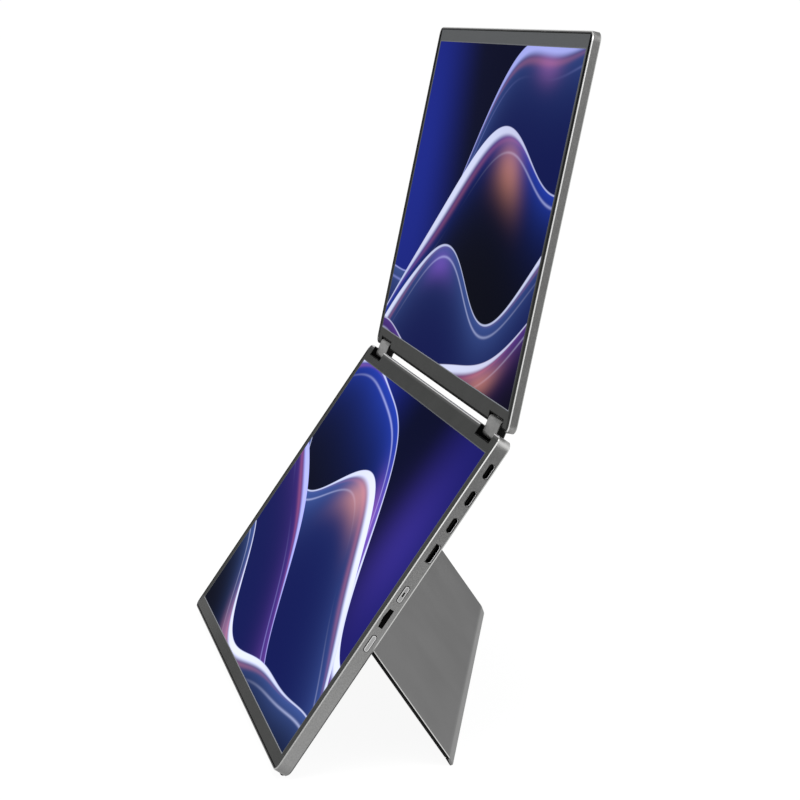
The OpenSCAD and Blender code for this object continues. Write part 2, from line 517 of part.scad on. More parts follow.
lower_back_cover();
lower_trim_ring();
lower_cover_glass();
lower_oled_panel();
lower_mid_frame();
main_board();
usb_c_port_upper();
usb_c_port_middle();
usb_c_port_lower();
mini_hdmi_port();
button_board();
tactile_switches();
rocker_pin();
tripod_insert();
rubber_feet();
stand_bracket_left();
stand_bracket_right();
stand_pins();
stand_screws();
lower_pocket_liner_left();
lower_pocket_liner_right();
lower_hinge_bracket_left();
lower_hinge_bracket_right();
lower_shaft_left();
lower_shaft_right();
lower_gear_left();
lower_gear_right();
lower_hinge_screws();
hinge_cover_left();
hinge_cover_right();
hinge_housing_left();
hinge_housing_right();
hinge_end_plate_left();
hinge_end_plate_right();
idler_pins();
idler_gears_near();
idler_gears_far();
upper_back_cover();
upper_trim_ring();
upper_cover_glass();
upper_oled_panel();
upper_mid_frame();
driver_board();
upper_pocket_liner_left();
upper_pocket_liner_right();
upper_hinge_bracket_left();
upper_hinge_bracket_right();
upper_shaft_left();
upper_shaft_right();
upper_gear_left();
upper_gear_right();
upper_hinge_screws();
stand_plate();
stand_liner();
stand_foot_strip();
power_button();
menu_button();
nav_rocker();
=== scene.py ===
import bpy, bmesh, json, math
from mathutils import Vector, Matrix


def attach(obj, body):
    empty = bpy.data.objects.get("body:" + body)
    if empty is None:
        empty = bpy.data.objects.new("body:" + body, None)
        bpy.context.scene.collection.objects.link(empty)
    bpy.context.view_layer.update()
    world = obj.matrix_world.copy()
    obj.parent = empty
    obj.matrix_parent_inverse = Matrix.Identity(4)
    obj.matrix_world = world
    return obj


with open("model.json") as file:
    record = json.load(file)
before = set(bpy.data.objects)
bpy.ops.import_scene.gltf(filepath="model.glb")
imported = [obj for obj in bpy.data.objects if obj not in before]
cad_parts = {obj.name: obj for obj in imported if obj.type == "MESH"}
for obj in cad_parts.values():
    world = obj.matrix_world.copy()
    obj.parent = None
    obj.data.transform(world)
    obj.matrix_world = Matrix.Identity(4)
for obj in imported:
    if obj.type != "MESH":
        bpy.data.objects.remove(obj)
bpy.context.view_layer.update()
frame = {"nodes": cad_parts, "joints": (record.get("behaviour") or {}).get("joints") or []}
NODES = frame["nodes"]
JOINTS = {j["name"]: j for j in frame["joints"]}
scene = bpy.context.scene

# ------------------------------------------------------------------ frames
# panel frame: x to the right, u up the panel, d from its back face to its front, in mm
LEAN = math.radians(55)
FOLD = math.radians(23.06)
LINK = 7.5
LOW_H = 209.0
LOW_AXIS = (LOW_H - 1.955, 3.4)
UP_AXIS = (1.955, 2.7)
cl, sl = math.cos(LEAN), math.sin(LEAN)
_p = Vector(JOINTS["fold_lower"]["pos_m"]) * 1000
OY = _p.y - (LOW_AXIS[0] * cl - LOW_AXIS[1] * sl)
STAND_OPEN = 2 * math.atan(1 / (math.tan(LEAN) * math.cos(math.radians(15.9))))
OZ = _p.z - (LOW_AXIS[0] * sl + LOW_AXIS[1] * cl)


def low(x, u, d):
    return Vector((x, u * cl - d * sl + OY, u * sl + d * cl + OZ)) / 1000


def rot(y, z, a):
    return y * math.cos(a) - z * math.sin(a), y * math.sin(a) + z * math.cos(a)


def link(x, y, z):
    y, z = rot(y, z, FOLD / 2)
    return low(x, LOW_AXIS[0] + y, LOW_AXIS[1] + z)


def up(x, v, d):
    y, z = rot(v - UP_AXIS[0], d - UP_AXIS[1], FOLD / 2)
    return link(x, y + LINK, z)


# ------------------------------------------------------------------ camera
cam_data = bpy.data.cameras.new("camera")
cam = bpy.data.objects.new("camera", cam_data)
scene.collection.objects.link(cam)
cam_data.sensor_width = 36
cam_data.sensor_fit = "HORIZONTAL"
cam_data.lens = 36 * 2070.326 / 800
cam_data.clip_start, cam_data.clip_end = 0.05, 200
cam.location = low(1164.33, 221.63, 363.74)
cam.rotation_mode = "QUATERNION"
cam.rotation_quaternion = Vector((-0.95815, 0.21979, -0.18347)).normalized().to_track_quat("-Z", "Y")
scene.camera = cam


# ------------------------------------------------------------------ node helpers
class N:
    """A value or colour in a node tree, so that maths reads as maths."""

    def __init__(self, nt, s):
        self.nt, self.s = nt, s

    def _m(self, op, *args, clamp=False):
        n = self.nt.nodes.new("ShaderNodeMath")
        n.operation, n.use_clamp = op, clamp
        for i, a in enumerate((self,) + args):
            if isinstance(a, N):
                self.nt.links.new(a.s, n.inputs[i])
            else:
                n.inputs[i].default_value = a
        return N(self.nt, n.outputs[0])

    def __add__(self, o): return self._m("ADD", o)
    def __sub__(self, o): return self._m("SUBTRACT", o)
    def __mul__(self, o): return self._m("MULTIPLY", o)
    def __truediv__(self, o): return self._m("DIVIDE", o)
    def __neg__(self): return self._m("MULTIPLY", -1.0)
    def __radd__(self, o): return self._m("ADD", o)
    def __rmul__(self, o): return self._m("MULTIPLY", o)
    def __rsub__(self, o): return (-self) + o
    def sin(self): return self._m("SINE")
    def abs(self): return self._m("ABSOLUTE")
    def exp(self): return self._m("EXPONENT")
    def pow(self, p): return self._m("POWER", p)
    def clamp(self): return self._m("ADD", 0.0, clamp=True)
    def max(self, o): return self._m("MAXIMUM", o)
    def min(self, o): return self._m("MINIMUM", o)

    def step(self, a, b):
        """0 below a, 1 above b, smooth between (a may be above b)."""
        n = self.nt.nodes.new("ShaderNodeMapRange")
        n.interpolation_type = "SMOOTHSTEP"
        lo, hi, flip = (a, b, False) if a < b else (b, a, True)
        self.nt.links.new(self.s, n.inputs["Value"])
        n.inputs["From Min"].default_value, n.inputs["From Max"].default_value = lo, hi
        n.inputs["To Min"].default_value, n.inputs["To Max"].default_value = (1, 0) if flip else (0, 1)
        return N(self.nt, n.outputs["Result"])

    def ramp(self, a, b, c, d):
        n = self.nt.nodes.new("ShaderNodeMapRange")
        self.nt.links.new(self.s, n.inputs["Value"])
        for k, v in zip(("From Min", "From Max", "To Min", "To Max"), (a, b, c, d)):
            n.inputs[k].default_value = v
        return N(self.nt, n.outputs["Result"])


def mix(nt, fac, a, b):
    n = nt.nodes.new("ShaderNodeMix")
    n.data_type = "RGBA"
    n.clamp_factor = True
    for i, v in ((0, fac), (6, a), (7, b)):
        if isinstance(v, N):
            nt.links.new(v.s, n.inputs[i])
        elif i:
            n.inputs[i].default_value = (*v, 1)
        else:
            n.inputs[i].default_value = v
    return N(nt, n.outputs[2])


def plus(nt, a, b, fac):
    """a + b * fac, for colours."""
    sc = nt.nodes.new("ShaderNodeVectorMath")
    sc.operation = "SCALE"
    if isinstance(b, N):
        nt.links.new(b.s, sc.inputs[0])
    else:
        sc.inputs[0].default_value = b
    nt.links.new(fac.s, sc.inputs["Scale"])
    ad = nt.nodes.new("ShaderNodeVectorMath")
    ad.operation = "ADD"
    nt.links.new(a.s, ad.inputs[0])
    nt.links.new(sc.outputs[0], ad.inputs[1])
    return N(nt, ad.outputs[0])


def coords(nt):
    return nt.nodes.new("ShaderNodeTexCoord").outputs["Object"]


def noise(nt, vec, scale, detail=2.0, rough=0.5):
    n = nt.nodes.new("ShaderNodeTexNoise")
    n.inputs["Scale"].default_value = scale
    n.inputs["Detail"].default_value = detail
    n.inputs["Roughness"].default_value = rough
    nt.links.new(vec, n.inputs["Vector"])
    return N(nt, n.outputs["Fac"])


def dot(nt, vec, axis, offset=0.0):
    n = nt.nodes.new("ShaderNodeVectorMath")
    n.operation = "DOT_PRODUCT"
    nt.links.new(vec, n.inputs[0])
    n.inputs[1].default_value = axis
    return N(nt, n.outputs["Value"]) + offset


def new_mat(name):
    m = bpy.data.materials.new(name)
    m.use_nodes = True
    nt = m.node_tree
    return m, nt, nt.nodes["Principled BSDF"]


def put(nt, v, sock):
    nt.links.new(v.s, sock)


def bump(nt, b, h, strength, dist):
    n = nt.nodes.new("ShaderNodeBump")
    n.inputs["Strength"].default_value = strength
    n.inputs["Distance"].default_value = dist
    put(nt, h, n.inputs["Height"])
    nt.links.new(n.outputs["Normal"], b.inputs["Normal"])


def surface(name, dark, light, rough=(0.3, 0.4), metallic=0.0, grain=9000, patch=35, bump_d=1e-5, bump_s=0.3, spec=0.5, fleck=0.25, coat=0.0):
    """A worn-in finish: fine grain, broad tone changes and uneven roughness."""
    m, nt, b = new_mat(name)
    v = coords(nt)
    g = noise(nt, v, grain, 2)
    p = noise(nt, v, patch, 3)
    t = g * fleck + p * (1 - fleck)
    put(nt, mix(nt, t.ramp(0.3, 0.7, 0, 1), dark, light), b.inputs["Base Color"])
    put(nt, (noise(nt, v, patch * 2.3, 2) * 0.7 + g * 0.3).ramp(0.3, 0.7, *rough), b.inputs["Roughness"])
    b.inputs["Metallic"].default_value = metallic
    b.inputs["Specular IOR Level"].default_value = spec
    b.inputs["Coat Weight"].default_value = coat
    bump(nt, b, g, bump_s, bump_d)
    return m


# ------------------------------------------------------------------ picture on the displays
def gauss(v, width):
    t = v * (1 / width)
    return (-(t * t)).exp()


def picture(nt, x, y, ribbons, glows, base):
    """A quiet abstract of silk-like folds on a dark ground. x and y are in units of 100 mm from the middle."""
    c0, c1, c2, (a, b, lo, hi), (a2, b2, lo2, hi2) = base
    col = mix(nt, (x * a + y * b).step(lo, hi), c0, c1)
    col = mix(nt, (x * a2 + y * b2).step(lo2, hi2), col, c2)
    for gx, gy, rx, ry, colour in glows:
        u, v = (x - gx) * (1 / rx), (y - gy) * (1 / ry)
        col = plus(nt, col, colour, (-(u * u + v * v)).exp())
    for wave, depth, near, far, warm, edge, thick, ph in ribbons:
        d = y - ((x * wave[2] + wave[3]).sin() * wave[1] + (x * wave[5] + wave[6]).sin() * wave[4] + x * wave[7] + wave[0])
        s = d * -1
        inside = d.step(0.004, -0.004)
        # dark fold, tinted near its crest
        fold = mix(nt, (-(s * (1 / depth))).exp(), far, near)
        fold = plus(nt, fold, warm[3], gauss(x - warm[0], warm[1]) * gauss(s - warm[2], warm[2] * 0.8))
        col = mix(nt, inside, col, fold)
        # bright crest, thick and thin, crisp outside and soft inside
        swell = (x * 1.7 + ph).sin() * 0.5 + 0.5
        t = swell * swell * thick + 0.012
        band = inside * (s / t).step(1.0, 0.45)
        col = mix(nt, band * (swell * 0.35 + 0.6), col, edge)
        col = plus(nt, col, (0.30, 0.07, 0.03), inside * gauss(s / t - 1.15, 0.28) * swell * 0.5)
        # thin second line deeper in the fold
        col = plus(nt, col, edge, inside * gauss(s - t * 1.6 - 0.05, 0.008) * (1 - swell) * 0.35)
    return col


def panel_coords(nt, axis, origin):
    """Position in the panel frame: x to the right, u up the panel, d to the front, in mm."""
    v = coords(nt)
    au = Vector(axis).normalized()
    ad = Vector((1, 0, 0)).cross(au)
    return (v, dot(nt, v, (1000, 0, 0)), dot(nt, v, tuple(1000 * a for a in au), -1000 * origin.dot(au)),
            dot(nt, v, tuple(1000 * a for a in ad), -1000 * origin.dot(ad)))


def screen(name, axis, origin, chin, lit_w, lit_h, art, painted_top_sheen, gain, seam, painted_sheen):
    """Cover glass: a dark printed border round the lit picture, under one smooth surface."""
    m, nt, b = new_mat(name)
    v, x, u, d = panel_coords(nt, axis, origin)
    mx = x.abs() - lit_w / 2
    my = (u - (chin + lit_h / 2)).abs() - lit_h / 2
    lit = mx.max(my).step(0.06, -0.06)
    col = picture(nt, x * 0.01, (u - (chin + lit_h / 2)) * 0.01, *art)
    ink = noise(nt, v, 60, 2) * 0.5 + noise(nt, v, 9000, 1) * 0.5
    paint = mix(nt, ink.ramp(0.3, 0.7, 0, 1), (0.041, 0.042, 0.041), (0.051, 0.052, 0.051))
    # painted sheen: the printed border grows lighter towards the top of the panel
    paint = mix(nt, (u * (1 / 209)).step(0.45, 1.05) * painted_top_sheen, paint, (0.11, 0.115, 0.12))
    # the band below the picture is a little lighter; on the lower panel a painted sheen over it grows towards the left,
    # and a painted highlight runs along the glass edge at the hinge side
    paint = mix(nt, u.step(chin + 0.3, chin - 0.3) * (x.step(-30, -150) * painted_sheen + 0.22), paint, (0.085, 0.085, 0.084))
    paint = mix(nt, u.step(206.2, 207.4) * (painted_sheen * 0.7), paint, (0.13, 0.13, 0.13))
    # thin pale line where the panel meets the printed border, strongest along its lower edge
    line = mx.max(my).step(-0.02, 0.06) * mx.max(my).step(0.62, 0.5)
    paint = mix(nt, line * (u.step(chin + 1.0, chin) * 0.6 + 0.25), paint, (0.23, 0.24, 0.27))
    paint = mix(nt, x.abs().step(158.5 - seam - 0.3, 158.5 - seam) * (u * (1 / 209)).ramp(0.0, 1.0, 0.4, 1.0), paint, (0.002, 0.002, 0.002))
    put(nt, mix(nt, lit, paint, (0.0008, 0.0008, 0.001)), b.inputs["Base Color"])
    e = nt.nodes.new("ShaderNodeVectorMath")
    e.operation = "SCALE"
    put(nt, col, e.inputs[0])
    put(nt, lit * gain, e.inputs["Scale"])
    nt.links.new(e.outputs[0], b.inputs["Emission Color"])
    b.inputs["Emission Strength"].default_value = 1.0
    put(nt, noise(nt, v, 25, 3).ramp(0.3, 0.7, 0.12, 0.2), b.inputs["Roughness"])
    b.inputs["Specular IOR Level"].default_value = 0.0004
    return m


BLUE, NAVY, INK = (0.0075, 0.0145, 0.185), (0.0016, 0.0026, 0.018), (0.008, 0.008, 0.105)
LILAC, PALE = (0.42, 0.45, 0.95), (0.72, 0.76, 1.0)
STEEL, AZURE, VIOLET = (0.045, 0.085, 0.29), (0.016, 0.045, 0.40), (0.085, 0.035, 0.26)
ORCHID, DARK, DEEP = (0.19, 0.075, 0.34), (0.0012, 0.0018, 0.007), (0.004, 0.0075, 0.075)
EMBER = (0.36, 0.14, 0.055)
# folds: wave numbers, depth of the tint, tint at the crest, ground inside, (warm glow: x, width, depth, colour), crest colour, its thickness, phase
ART_UPPER = (
    [
        ((0.34, 0.38, 1.75, 0.5, 0.09, 3.6, 1.0, 0.42), 0.17, STEEL, DEEP, (0.95, 0.22, 0.12, (0.14, 0.04, 0.12)), LILAC, 0.085, 0.2),
        ((-0.06, 0.42, 1.45, 1.7, 0.07, 3.1, 0.2, 0.40), 0.15, AZURE, DARK, (0.62, 0.25, 0.20, EMBER), PALE, 0.125, 2.1),
        ((-0.46, 0.34, 1.9, 2.9, 0.05, 3.9, 2.0, 0.30), 0.16, STEEL, DEEP, (-0.4, 0.25, 0.12, (0.10, 0.03, 0.22)), PALE, 0.080, 4.3),
        ((-0.80, 0.22, 1.5, 4.1, 0.05, 3.3, 0.7, 0.22), 0.12, VIOLET, DARK, (0.9, 0.3, 0.11, EMBER), PALE, 0.060, 1.1),
    ],
    [(-1.45, 0.2, 0.7, 0.9, (0.002, 0.006, 0.07)), (1.45, 0.5, 0.3, 0.7, (0.012, 0.006, 0.07))],
    (BLUE, NAVY, INK, (1.0, 0.2, -1.3, -0.15), (1.0, -0.1, 0.8, 1.5)),
)
ART_LOWER = (
    [
        ((0.46, 0.34, 1.55, 2.3, 0.08, 3.2, 0.4, -0.30), 0.20, AZURE, DARK, (0.62, 0.28, 0.14, (0.20, 0.06, 0.20)), PALE, 0.090, 5.1),
        ((0.10, 0.38, 1.8, 0.8, 0.07, 3.7, 1.7, -0.36), 0.20, STEEL, DEEP, (0.1, 0.28, 0.16, EMBER), PALE, 0.120, 0.5),
        ((-0.34, 0.30, 1.5, 3.9, 0.06, 3.0, 2.9, -0.26), 0.13, VIOLET, DEEP, (0.8, 0.3, 0.12, EMBER), LILAC, 0.075, 3.4),
        ((-0.70, 0.22, 1.7, 5.3, 0.05, 3.9, 0.6, -0.16), 0.12, STEEL, DARK, (-0.6, 0.3, 0.10, (0.22, 0.08, 0.10)), PALE, 0.060, 1.9),
    ],
    [(-1.4, 0.6, 0.8, 0.8, (0.003, 0.008, 0.09)), (1.15, 0.25, 0.40, 0.5, (0.020, 0.012, 0.11))],
    (BLUE, NAVY, INK, (1.0, -0.1, -1.25, 0.15), (1.0, 0.15, 0.7, 1.5)),
)
up_o = up(0, 0, 0)
up_axis = (up(0, 1000, 0) - up_o).normalized()
low_o, low_axis = low(0, 0, 0), (0.0, cl, sl)
M = {}
M["glass_low"] = screen("display_glass_lower", low_axis, low_o, 9.0, 301.6, 188.5, ART_LOWER, 0.0, 1.3, 2.1, 0.7)
M["glass_up"] = screen("display_glass_upper", tuple(up_axis), up_o, 11.6, 301.6, 188.5, ART_UPPER, 0.7, 1.0, 5.0, 0.0)


def capsule(u, d, u0, half, d0, r):
    """Distance to a rounded slot lying along the panel, in mm."""
    return ((((u - u0).abs() - half).max(0.0)).pow(2.0) + (d - d0) * (d - d0)).pow(0.5) - r


def housing(name, axis, origin, h, t, cb, body, painted_edge_highlight, painted_back_highlight, openings):
    """Bead-blasted anodised housing; its front and back edge chamfers are smoother and painted pale as highlights, and
    its ends and the rings round its openings carry painted light and shade.
    """
    m, nt, b = new_mat(name)
    v, x, u, d = panel_coords(nt, axis, origin)
    r = 5.0
    ax, ay = (x.abs() - (158.5 - r)).max(0.0), ((u - h / 2).abs() - (h / 2 - r)).max(0.0)
    q = (ax * ax + ay * ay).pow(0.5) - r
    near_edge = q.step(-0.75, -0.6)
    front = (q + d - t + 0.5).step(-0.12, -0.02) * q.step(-0.62, -0.5) * d.step(t - 0.58, t - 0.48)
    back = (q - d + cb).step(-0.2, -0.08) * q.step(-cb - 0.25, -cb - 0.1) * d.step(cb + 0.12, cb - 0.02)
    g = noise(nt, v, 9000, 2)
    speck = noise(nt, v, 1500, 2)
    tone = g * 0.3 + speck * 0.58 + noise(nt, v, 22, 2) * 0.12
    dark, light = [tuple(c * k for c in body) for k in (0.84, 1.16)]
    col = mix(nt, tone.ramp(0.35, 0.65, 0, 1), dark, light)
    if openings:
        # painted highlight: the lower housing is lighter towards its hinge end
        col = mix(nt, u.step(201.0, 208.5) * 0.55, col, (0.52, 0.52, 0.51))
        # painted shade: darker at the bottom end, next to the floor
        col = mix(nt, u.step(8.0, 0.0) * 0.5, col, (0.15, 0.15, 0.148))
        # painted shade along the back chamfer low on the lower housing, painted highlight above it
        back_highlight_and_shade = mix(nt, u.step(78.0, 84.0), (0.012, 0.012, 0.012), painted_back_highlight)
        # painted highlight, brightest on the front chamfer at the hinge end
        painted_edge_highlight = mix(nt, u.step(208.0, 208.4), painted_edge_highlight, (0.95, 0.95, 0.95))
        rim_line_and_highlight = mix(nt, u.step(207.7, 208.3), (0.003, 0.003, 0.003), (0.75, 0.75, 0.75))
    else:
        # painted shade: the upper housing is darker at its top end
        col = mix(nt, u.step(205.0, 208.5) * 0.5, col, (0.11, 0.11, 0.108))
        back_highlight_and_shade, rim_line_and_highlight = painted_back_highlight, (0.003, 0.003, 0.003)
    # painted highlights on the back and front chamfers, which are also less rough below
    col = mix(nt, back * 0.9, col, back_highlight_and_shade)
    col = mix(nt, front, col, painted_edge_highlight)
    # black bonding line along the flat rim between the edge chamfer and the glass; on the lower housing it turns pale
    # near the hinge end as a painted highlight
    col = mix(nt, q.step(-0.52, -0.58) * d.step(t - 0.2, t - 0.06), col, rim_line_and_highlight)
    if openings:
        # painted shade: dark rings round the button holes, and round the port mouths on their back side only
        shade = None
        for u0 in (113.4, 82.8):
            ring = capsule(u, d, u0, 3.55, 4.2, 1.4).step(0.26, 0.16)
            shade = ring if shade is None else shade.max(ring)
        for u0, half, rad in ((190.6, 2.84, 1.71), (173.8, 2.84, 1.71), (157.0, 2.84, 1.71), (139.3, 4.1, 1.6)):
            ring = capsule(u, d, u0, half, 3.1, rad).step(0.34, 0.24) * (d - 3.1).step(-0.2, -0.8) * 0.7
            shade = shade.max(ring)
        col = mix(nt, shade * x.step(150.0, 152.0), col, (0.006, 0.006, 0.006))
    put(nt, col, b.inputs["Base Color"])
    rough = (noise(nt, v, 70, 2) * 0.5 + g * 0.2 + speck * 0.3).ramp(0.3, 0.7, 0.36, 0.44)
    put(nt, rough - (front.max(back)) * 0.16, b.inputs["Roughness"])
    b.inputs["Metallic"].default_value = 1.0
    bump(nt, b, g, 0.25, 6e-6)
    return m


def socket(name, rim):
    """Stamped socket shell: a painted highlight on the back half of its rim, painted shade over its inside."""
    m, nt, b = new_mat(name)
    v = coords(nt)
    x = dot(nt, v, (1000, 0, 0))
    g = noise(nt, v, 5000, 2)
    d = panel_coords(nt, low_axis, low_o)[3]
    inner_shade = mix(nt, g.ramp(0.3, 0.7, 0, 1), (0.002, 0.002, 0.0022), (0.005, 0.005, 0.0052))
    lip_highlight = mix(nt, (d - 3.1).step(-0.1, -0.9), tuple(c * 0.05 for c in rim), rim)
    put(nt, mix(nt, x.step(158.12, 158.24), inner_shade, lip_highlight), b.inputs["Base Color"])
    put(nt, g.ramp(0.3, 0.7, 0.3, 0.42), b.inputs["Roughness"])
    b.inputs["Metallic"].default_value = 0.9
    bump(nt, b, g, 0.3, 1e-5)
    return m


def button(name, u0, mark):
    """Satin button face with painted shade on the flange below it and a painted highlight round its edge; mark makes
    its small slot dark.
    """
    m, nt, b = new_mat(name)
    v, x, u, d = panel_coords(nt, low_axis, low_o)
    g = noise(nt, v, 9000, 2)
    tone = g * 0.3 + noise(nt, v, 250, 3) * 0.7
    face = mix(nt, tone.ramp(0.3, 0.7, 0, 1), (0.35, 0.35, 0.35), (0.42, 0.42, 0.42))
    rim = capsule(u, d, u0, 3.55, 4.2, 0.0)
    # painted highlight round the edge of the face
    face = mix(nt, rim.step(0.78, 1.0) * 0.85, face, (0.95, 0.95, 0.95))
    # painted shade on the flange below the face
    dark = x.step(158.35, 158.05)
    if mark:
        slot = ((((u - u0).abs() - 1.0).max(0.0).pow(2.0) + (d - 4.2) * (d - 4.2)).pow(0.5)).step(0.46, 0.38)
        dark = dark.max(slot)
    put(nt, mix(nt, dark, face, (0.004, 0.004, 0.004)), b.inputs["Base Color"])
    put(nt, g.ramp(0.3, 0.7, 0.32, 0.4), b.inputs["Roughness"])
    b.inputs["Metallic"].default_value = 0.8
    bump(nt, b, g, 0.3, 6e-6)
    return m


def trim(name):
    """Black bonding ring; its strip next to the hinges is painted pale as a highlight."""
    m, nt, b = new_mat(name)
    v, x, u, d = panel_coords(nt, low_axis, low_o)
    g = noise(nt, v, 6000, 2)
    col = mix(nt, g.ramp(0.3, 0.7, 0, 1), (0.0012, 0.0012, 0.0013), (0.003, 0.003, 0.0031))
    # painted highlight along the strip next to the hinges
    put(nt, mix(nt, u.step(207.1, 207.6) * 0.8, col, (0.16, 0.16, 0.16)), b.inputs["Base Color"])
    put(nt, g.ramp(0.3, 0.7, 0.5, 0.65), b.inputs["Roughness"])
    b.inputs["Specular IOR Level"].default_value = 0.02
    bump(nt, b, g, 0.3, 1.5e-5)
    return m


def stand_metal(name):
    """Bead-blasted kickstand skin, with painted light and shade across it and painted highlights along its side edges.
    """
    m, nt, b = new_mat(name)
    v = coords(nt)
    g, p, speck = noise(nt, v, 8000, 2), noise(nt, v, 10, 3), noise(nt, v, 1500, 2)
    tone = (g * 0.3 + speck * 0.25 + p * 0.45).ramp(0.3, 0.7, 0, 1)
    pos = Vector(JOINTS["stand_fold"]["pos_m"]) * 1000
    axis = Vector(JOINTS["stand_fold"]["axis"]).normalized()
    turn = Matrix.Rotation(STAND_OPEN, 3, axis)
    ex, eu, ed = [turn @ Vector(a) for a in ((1, 0, 0), low_axis, (0, -sl, cl))]
    xs = dot(nt, v, tuple(1000 * c for c in ex), -ex.dot(pos))
    us = dot(nt, v, tuple(1000 * c for c in eu), 120.2 - eu.dot(pos))
    ds = dot(nt, v, tuple(1000 * c for c in ed), 1.6 - ed.dot(pos))
    # painted light and shade: the skin is darker towards the left, lighter towards the right
    shaded_tone, lit_tone = [mix(nt, tone, (k * 0.94,) * 3, (k * 1.06,) * 3) for k in (0.076, 0.121)]
    col = mix(nt, xs.ramp(-150.0, 150.0, 0, 1), shaded_tone, lit_tone)
    # painted highlight: a lighter strip along the lip at the foot
    col = mix(nt, us.step(5.4, 1.0) * 0.85, col, (0.21, 0.21, 0.208))
    # side faces: a painted highlight next to the outer face, black deeper in
    side_highlight_and_black = mix(nt, ds.step(0.62, 0.5), (0.004, 0.004, 0.004), (0.62, 0.62, 0.61))
    put(nt, mix(nt, xs.abs().step(142.1, 142.25) * us.step(2.0, 3.0), col, side_highlight_and_black), b.inputs["Base Color"])
    put(nt, (noise(nt, v, 23, 2) * 0.7 + g * 0.3).ramp(0.3, 0.7, 0.44, 0.5), b.inputs["Roughness"])
    b.inputs["Metallic"].default_value = 1.0
    bump(nt, b, g, 0.25, 6e-6)
    return m


# ------------------------------------------------------------------ other finishes
M["housing_low"] = housing("anodised_housing_lower", low_axis, low_o, 209.0, 8.2, 0.8, (0.262, 0.262, 0.260), (0.37, 0.37, 0.365), (0.55, 0.55, 0.54), True)
M["housing_up"] = housing("anodised_housing_upper", tuple(up_axis), up_o, 209.4, 4.8, 0.5, (0.26, 0.259, 0.255), (0.7, 0.7, 0.69), (0.5, 0.5, 0.49), False)
M["stand"] = stand_metal("anodised_stand")
M["hinge_cover"] = surface("hinge_cover_satin", (0.125, 0.125, 0.123), (0.160, 0.160, 0.157), (0.32, 0.42), 0.6, 7000, 160, 6e-6, 0.3, spec=0.3)
M["black"] = surface("trim_black", (0.0012, 0.0012, 0.0013), (0.003, 0.003, 0.0031), (0.5, 0.65), 0.0, 6000, 200, 1.5e-5, 0.3, spec=0.02)
M["trim_low"] = trim("trim_black_lower")
M["black_metal"] = surface("black_metal", (0.004, 0.004, 0.0042), (0.010, 0.010, 0.0105), (0.3, 0.42), 0.3, 5000, 300, 1e-5, 0.4, spec=0.15)
M["button_power"] = button("button_satin_power", 82.8, False)
M["button_menu"] = button("button_satin_menu", 113.4, True)
M["rocker"] = surface("rocker_black", (0.0008, 0.0008, 0.0009), (0.0022, 0.0022, 0.0023), (0.35, 0.5), 0.0, 6000, 300, 1e-5, 0.3, spec=0.02)
M["shell"] = socket("socket_shell", (0.85, 0.85, 0.86))
M["tongue"] = surface("socket_tongue", (0.002, 0.002, 0.0022), (0.005, 0.005, 0.0052), (0.4, 0.55), 0.0, 6000, 500, 1e-5, 0.3, spec=0.05)
M["gold"] = surface("gold_contacts", (0.30, 0.19, 0.07), (0.40, 0.28, 0.12), (0.3, 0.4), 1.0, 7000, 900, 4e-6, 0.3)
M["steel"] = surface("ground_steel", (0.36, 0.36, 0.37), (0.5, 0.5, 0.51), (0.25, 0.38), 1.0, 5200, 260, 8e-6, 0.4)
M["cap"] = surface("axle_cap_dark", (0.03, 0.03, 0.031), (0.06, 0.06, 0.061), (0.3, 0.42), 0.8, 5200, 260, 8e-6, 0.4)
M["brass"] = surface("brass_insert", (0.50, 0.37, 0.15), (0.66, 0.50, 0.22), (0.25, 0.38), 1.0, 5200, 260, 8e-6, 0.4)
M["rubber"] = surface("foot_rubber", (0.008, 0.008, 0.008), (0.016, 0.016, 0.0165), (0.62, 0.8), 0.0, 3500, 120, 4e-5, 0.6, spec=0.2)
M["liner"] = surface("stand_liner_fabric", (0.004, 0.004, 0.0045), (0.009, 0.009, 0.0095), (0.6, 0.75), 0.0, 4000, 60, 3e-5, 0.5, spec=0.15)
M["panel"] = surface("panel_back", (0.02, 0.02, 0.05), (0.03, 0.03, 0.07), (0.3, 0.4), 0.0, 6000, 60, 5e-6, 0.2)
M["board"] = surface("circuit_board", (0.006, 0.05, 0.02), (0.012, 0.075, 0.03), (0.3, 0.45), 0.0, 3000, 150, 2e-5, 0.4)
M["sheet"] = surface("pressed_sheet", (0.35, 0.35, 0.36), (0.45, 0.45, 0.46), (0.3, 0.45), 1.0, 4000, 60, 6e-6, 0.3)

